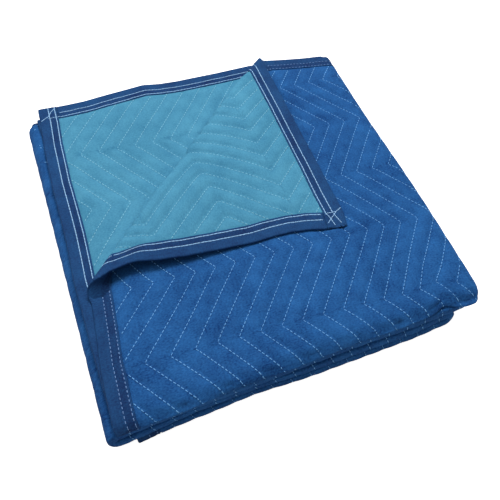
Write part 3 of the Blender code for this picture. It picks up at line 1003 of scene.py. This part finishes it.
# Where the tape's points lie: along it, along it round a turn, and in from its edge.
STATION = 0.0042
TURN_STATION = 0.0018
TURN_MARGIN = 0.004
TAPE_PLACES = (0.0270, 0.0265, 0.0255, 0.0240, 0.0225, 0.0209, 0.0189, 0.0166, 0.0148, 0.0132,
               0.0110, 0.0084, 0.0058, 0.0034, 0.0016, 0.0005, 0.0)


def tape_height(inward, along, seed):
    """Height of the tape off the blanket's middle: round at the edge, drawn in at its rows."""
    height = HALF_THICK + BINDING_RISE
    height = height * np.sqrt(np.clip(1 - (1 - np.minimum(inward / height, 1.0)) ** 2, 0, 1))
    for place in ROW_PLACES:
        height = height - ROW_SINK * np.exp(-((inward - place) / ROW_WIDTH) ** 2)
    slack = smooth(inward / TAPE_HELD[0]) * smooth((BINDING_WIDTH - inward) / TAPE_HELD[1])
    return height + slack * sum(rise * uneven(along, inward, size, seed + number)
                                for number, (rise, size) in enumerate(TAPE_RIPPLES))


def stations(start, end, turns):
    """Places along a strip: close together round each turn of the cloth."""
    places = [start]
    while places[-1] < end - TURN_STATION / 2:
        here = places[-1]
        close = any(low - TURN_MARGIN < here < high + TURN_MARGIN for low, high in turns)
        places.append(min(here + (TURN_STATION if close else STATION), end))
    return np.array(places)


def from_strip(edge, along, inward):
    """The flat place of a place on a strip: along it, and in from the edge that it closes."""
    axis, far = edge
    across = np.abs(far - inward)
    return (across, along) if axis == 0 else (along, across)


def on_strip(edge, u, v):
    """The place on a strip of a flat place: along it, and in from the edge that it closes."""
    axis, far = edge
    along, across = (v, u) if axis == 0 else (u, v)
    return along, np.abs(far - across)


def tape(edge, start, end, turns, seed):
    """One strip laid flat: its outer side goes over the edge, and its inner side comes back."""
    along = stations(start, end, turns)
    outer = np.array(TAPE_PLACES)
    half, rows = len(outer), len(along)
    inward = np.concatenate((outer, outer[-2::-1]))
    side = np.concatenate((np.ones(half), -np.ones(half - 1)))
    lining = np.array((BINDING_WIDTH, BINDING_CLOTH, BINDING_CLOTH, BINDING_WIDTH))
    lining_side = np.array((-1, -1, 1, 1)) * (HALF_THICK - BINDING_CLOTH)
    off = np.stack([side * tape_height(inward, place, seed) for place in along])
    off = np.concatenate((off, np.tile(lining_side, (rows, 1))), 1)
    inward = np.tile(np.concatenate((inward, lining)), (rows, 1))
    ring = inward.shape[1]
    spread = np.repeat(along[:, None], ring, 1)
    waver = TAPE_WAVER * uneven(spread, 0 * spread, TAPE_WAVER_SIZE, seed)
    inward[:, :half] += (waver * smooth(inward / TAPE_WAVER_SIZE))[:, :half]
    u, v = from_strip(edge, spread, inward)
    faces = []
    for here in range(0, (rows - 1) * ring, ring):
        for corner in range(ring):
            after = (corner + 1) % ring
            faces.append((here + corner, here + after, here + ring + after, here + ring + corner))
    # each end is closed by fans from the four corners of the lining
    fans = ((0, half - 3, ring - 1), (half - 3, half - 1, ring - 2),
            (half - 1, half + 1, ring - 3), (half + 1, 2 * half - 2, ring - 4))
    for here in (0, (rows - 1) * ring):
        for first, last, there in fans:
            faces += [(here + corner, here + corner + 1, here + there)
                      for corner in range(first, last)]
            if there > ring - 4:
                faces.append((here + last, here + there, here + there - 1))
    flat = mesh_of(np.stack((u, v, off), -1).reshape(-1, 3), faces)
    bmesh.ops.recalc_face_normals(flat, faces=flat.faces[:])
    return flat


# Where a strip turns with the cloth, and has its points closer together: at each fold, and over
# the diagonal, from this far before it to this far past it.
BEFORE_FOLD = 0.06
PAST_FOLD = 0.02
LENGTH_TURNS = (
    (TOP_RUN, TOP_RUN + NEAR_TURN),
    (FAR_TURN_START, FAR_TURN_START + math.pi * PITCH / 2),
    (INNER_TURN_START, LAST_RUN_START),
    (TOP_RUN - FOLD_END[1] - BEFORE_FOLD, TOP_RUN - FOLD_END[1] + PAST_FOLD),
)
WIDTH_TURNS = (
    *((turn, turn + SIDE_TURN) for turn in SIDE_TURN_STARTS),
    (FOLD_START[0] - BEFORE_FOLD, FOLD_START[0] + PAST_FOLD),
)
binding_material = cloth_material(
    "binding_tape", (0.012, 0.060, 0.180), (0.008, 0.036, 0.125), (0.030, 0.090, 0.240),
    threads=1500.0, slubs=0.3, relief=0.0004, roughness=0.80, quilted=False)

# each strip's edge (0 for a side or 1 for an end, and its place), then its ends and its turns
STRIPS = {
    "binding_left": ((0, 0.0), BOUND_EDGE, LENGTH, LENGTH_TURNS),
    "binding_right": ((0, WIDTH), BOUND_EDGE, LENGTH, LENGTH_TURNS),
    "binding_start": ((1, 0.0), 0.0, WIDTH, WIDTH_TURNS),
    "binding_finish": ((1, LENGTH), BOUND_EDGE, WIDTH - BOUND_EDGE, WIDTH_TURNS),
}
STRIP_SEEDS = {name: 20 + 2 * number for number, name in enumerate(STRIPS)}
for name, layout in STRIPS.items():
    strip = folded_piece(name + "_tape", tape(*layout, STRIP_SEEDS[name]), None, binding_material)
    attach(strip, "root")
    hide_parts(name)

# ------------------------------------------------------------------ quilting thread
# Lock stitches of light blue thread hold cloth, batting and cloth together. On the dark side
# they lie as short dashes, and on the light side as small pale beads drawn into the cloth.
STITCHES = 24
STITCH_LENGTH = math.hypot(QUILT_SWING, QUILT_REACH) / STITCHES

# A thread's twist: the stretch of its noise, and how far it dims and brightens the colour.
TWIST_STRETCH = (900.0, 900.0, 900.0)
DIM = 0.8
BRIGHT = 1.15


def thread_material(name, colour, roughness):
    """Spun thread with a slight sheen; its twist varies its colour a little."""
    thread, tree, shader = new_material(name)
    dim = [part * DIM for part in colour]
    bright = [min(part * BRIGHT, 1) for part in colour]
    twist = noise(tree, mapped(tree, "laid_flat"), TWIST_STRETCH)
    feed(tree, shader, {"Base Color": mixed(tree, twist, (*dim, 1), (*bright, 1)),
                        "Roughness": roughness, "Specular IOR Level": 0.2})
    return thread


# A stitch across: how far out it reaches in half its width, and how far off the cloth it stands
BEAD = ((-1, 0.3), (0, 1.0), (1, 0.3), (0, -0.5))
STITCH_RISE = 0.0004


def stitched(name, starts, ends, height, width, sink, material, taper=0.2):
    """Stitches as beads from flat starts to flat ends, lying on a surface of a given height."""
    run = ends - starts
    across = np.stack((-run[:, 1], run[:, 0]), -1)
    across *= width / 2 / np.linalg.norm(across, axis=1, keepdims=True)
    rings = []
    for share, wide in ((0.0, 0), (taper, 1), (1 - taper, 1), (1.0, 0)):
        middle = starts + run * share
        lying = height(middle[:, 0], middle[:, 1])
        sign = np.sign(lying[0])
        if not wide:
            rings.append(np.column_stack((middle, lying - sign * sink)))
            continue
        for out, lift in BEAD:
            rings.append(np.column_stack((middle + across * out,
                                          lying + sign * lift * STITCH_RISE)))
    # the points of a bead: 0 at its start, 1 to 4 and 5 to 8 round it, and 9 at its end
    points = np.stack(rings, 1)
    faces = []
    for one, two in ((1, 2), (2, 3), (3, 4), (4, 1)):
        faces += [(0, two, one), (9, one + 4, two + 4),
                  (one, two, two + 4), (one, two + 4, one + 4)]
    faces = np.array(faces) + points.shape[1] * np.arange(len(points))[:, None, None]
    piece = folded_piece(name, mesh_of(points.reshape(-1, 3), faces.reshape(-1, 3).tolist()),
                         None, material)
    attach(piece, "root")
    return piece


# Lines, and swings of a line, that cover the whole blanket. first, one past the last
LINES = (-40, 80)
SWINGS = (-12, 20)

# Stitches are made where the cloth is at least this free, or this far round a turn.
SHOWN = 0.05


def quilting_stitches(shows, share):
    """Starts and ends of the stitches along every quilting line, where they show."""
    line, half, step = (grid.ravel() for grid in np.meshgrid(
        np.arange(*LINES), np.arange(*SWINGS), np.arange(STITCHES), indexing="ij"))
    ends = []
    for part in ((1 - share) / 2, (1 + share) / 2):
        along = (half + (step + part) / STITCHES) * QUILT_REACH
        ends.append(np.stack(unquilted(line * QUILT_GAP + swing(along), along), -1))
    seen = shows(*((ends[0] + ends[1]) / 2).T)
    for end in ends:
        seen &= inside_binding(*end.T) > 0
    return ends[0][seen], ends[1][seen]


def face_shows(u, v):
    """Where the dark cloth shows: on top, round its lips, and on the underside."""
    lower = u > SIDE_TURN_STARTS[2]
    runs = (v < TOP_RUN + NEAR_TURN) & ((u < PANEL_WIDTH + SIDE_TURN) | lower)
    return runs | (freedom(u, v, 1) + turning(u, v) > SHOWN)


def back_shows(u, v):
    """Where the light cloth shows: on the flap, and on the layer below it."""
    return freedom(u, v, -1) > SHOWN


# No stitch shows on the smooth roll at the left side: its thread lies this deep in the cloth.
BURIED = 0.0016
QUILT_SINK = 0.0004
face_thread = thread_material("face_thread", (0.17, 0.45, 0.85), 0.6)
starts, ends = quilting_stitches(face_shows, 0.90)
face_stitches = stitched(
    "quilting_thread_face", starts, ends,
    lambda u, v: surface(u, v, 1) - BURIED * in_turn(u, SIDE_TURN_STARTS[1], SIDE_TURN),
    width=0.0011, sink=QUILT_SINK, material=face_thread)
back_thread = thread_material("back_thread", (0.27, 0.60, 0.74), 0.6)
starts, ends = quilting_stitches(back_shows, 0.82)
back_stitches = stitched("quilting_thread_back", starts, ends, lambda u, v: -surface(u, v, -1),
                         width=0.0010, sink=QUILT_SINK, material=back_thread)

# ------------------------------------------------------------------ binding thread
# Two rows of lock stitch hold each strip. On the dark side they are dashes, and on the light
# side the pale thread lies in one nearly unbroken line, with stray runs over the corners.

# Rows start clear of the blanket's corner and of the strip's first end, and stop short of its
# other end.
ROWS_CLEAR = 0.0215
ROWS_START = 0.003
ROWS_END = 0.004
TAPE_SINK = 0.0001
CROSSING_WIDTH = 0.0012
LINE_TAPER = 0.06

# strip on top, end of the blanket it is at, places along a run: off the left edge, off that end
CROSSINGS = (
    ("binding_start", 0.0, ((0.0245, 0.0240), (0.0248, 0.0160), (0.0255, 0.0095),
                            (0.0305, 0.0015))),
    ("binding_start", 0.0, ((0.0255, 0.0095), (0.0200, 0.0145), (0.0130, 0.0210),
                            (0.0090, 0.0245))),
    ("binding_start", 0.0, ((0.0240, 0.0240), (0.0205, 0.0215), (0.0150, 0.0195),
                            (0.0040, 0.0160))),
    ("binding_start", 0.0, ((0.0235, 0.0140), (0.0205, 0.0130), (0.0140, 0.0105),
                            (0.0060, 0.0070))),
    ("binding_left", LENGTH, ((0.0018, 0.0279), (0.0131, 0.0194), (0.0181, 0.0112),
                              (0.0240, 0.0043))),
    ("binding_left", LENGTH, ((0.0128, 0.0241), (0.0215, 0.0241), (0.0300, 0.0240))),
)


def strip_rows(edge, start, end, share):
    """Starts and ends of the stitches of a strip's two rows."""
    places = np.arange(max(start, ROWS_CLEAR) + ROWS_START, end - ROWS_END, STITCH_LENGTH)
    found = []
    for shift in ((1 - share) / 2, (1 + share) / 2):
        found.append(np.concatenate([
            np.stack(from_strip(edge, places + shift * STITCH_LENGTH,
                                np.full_like(places, row)), -1)
            for row in ROW_PLACES]))
    return found


def tape_surface(name, side):
    """A function that gives the height of a strip's outer side at flat places."""
    edge = STRIPS[name][0]

    def height(u, v):
        along, inward = on_strip(edge, u, v)
        return side * tape_height(inward, along, STRIP_SEEDS[name])
    return height


dash_thread = thread_material("binding_thread_dark_side", (0.20, 0.36, 0.68), 0.6)
line_thread = thread_material("binding_thread_light_side", (0.36, 0.62, 1.0), 0.55)

# each side's rows: their name, which side, share of a stitch that shows, width, taper, thread
ROWS_OF = (
    ("dashes", 1, 0.70, 0.0010, 0.20, dash_thread),
    ("line", -1, 1.02, 0.0015, LINE_TAPER, line_thread),
)
for name, (edge, start, end, turns) in STRIPS.items():
    for word, side, share, width, taper, thread in ROWS_OF:
        starts, ends = strip_rows(edge, start, end, share)
        rows = stitched(f"{name}_{word}", starts, ends, tape_surface(name, side),
                        width, TAPE_SINK, thread, taper)
for number, (name, end, places) in enumerate(CROSSINGS):
    runs = np.array(places)
    runs[:, 1] = np.abs(end - runs[:, 1])
    share = np.linspace(0.0, 1.0, 2 * len(runs) - 1)
    at = np.linspace(0.0, 1.0, len(runs))
    runs = np.stack([np.interp(share, at, runs[:, axis]) for axis in (0, 1)], -1)
    crossing = stitched(f"crossing_{number}", runs[:-1], runs[1:], tape_surface(name, -1),
                        CROSSING_WIDTH, TAPE_SINK, line_thread, LINE_TAPER)

# ------------------------------------------------------------------ floor, light and camera
# A pale seamless floor, one broad soft light above and behind the right side, a weaker one
# from the left, and the camera above the near edge, turned a little to the left.
FLOOR_REACH = 30.0
FLOOR_GLOW = 0.90
FLOOR_CORNERS = ((-1, -1, 0), (1, -1, 0), (1, 1, 0), (-1, 1, 0))
SKY_LIGHT = 0.28


def seen_as(tree, seen, lit):
    """One value where the camera looks straight at it, and another in the light it gives."""
    rays = tree.nodes.new("ShaderNodeLightPath")
    return maths(tree, "MULTIPLY_ADD", rays.outputs["Is Camera Ray"], seen - lit, lit)


floor_mesh = bpy.data.meshes.new("floor")
floor_mesh.from_pydata((FLOOR_REACH * np.array(FLOOR_CORNERS)).tolist(), [], [(0, 1, 2, 3)])
floor = placed("floor", floor_mesh)
paint, tree, shader = new_material("floor_paint")
feed(tree, shader, {"Base Color": (0.8, 0.8, 0.8, 1), "Roughness": 0.9,
                    "Emission Color": (1.0, 1.0, 1.0, 1),
                    "Emission Strength": seen_as(tree, FLOOR_GLOW, 0.0)})
floor_mesh.materials.append(paint)


def softbox(name, place, size, power):
    """A square soft light that faces the middle of the stack."""
    light = bpy.data.lights.new(name, "AREA")
    light.shape = "SQUARE"
    light.size = size
    light.energy = power
    lamp = placed(name, light)
    lamp.location = place
    to_middle = -lamp.location.normalized()
    lamp.rotation_euler = to_middle.to_track_quat("-Z", "Y").to_euler()


softbox("key_light", (0.45, 0.85, 2.0), 0.7, 35.0)
softbox("fill_light", (-0.9, 0.4, 1.8), 1.4, 12.0)
world = bpy.data.worlds.new("studio")
world.use_nodes = True
feed(world.node_tree, world.node_tree.nodes["Background"],
     {"Color": (1.0, 1.0, 1.0, 1), "Strength": seen_as(world.node_tree, 1.0, SKY_LIGHT)})
bpy.context.scene.world = world
bpy.context.scene.view_settings.view_transform = "Standard"

VIEW_AZIMUTH = math.radians(-16.5)
VIEW_ELEVATION = math.radians(55.9)
view = bpy.data.cameras.new("camera")
view.lens = 40.805
camera = placed("camera", view)
camera.location = (-0.10970, -0.46624, 0.63782)
camera.rotation_euler = (math.pi / 2 - VIEW_ELEVATION, 0.0, VIEW_AZIMUTH)
bpy.context.scene.camera = camera
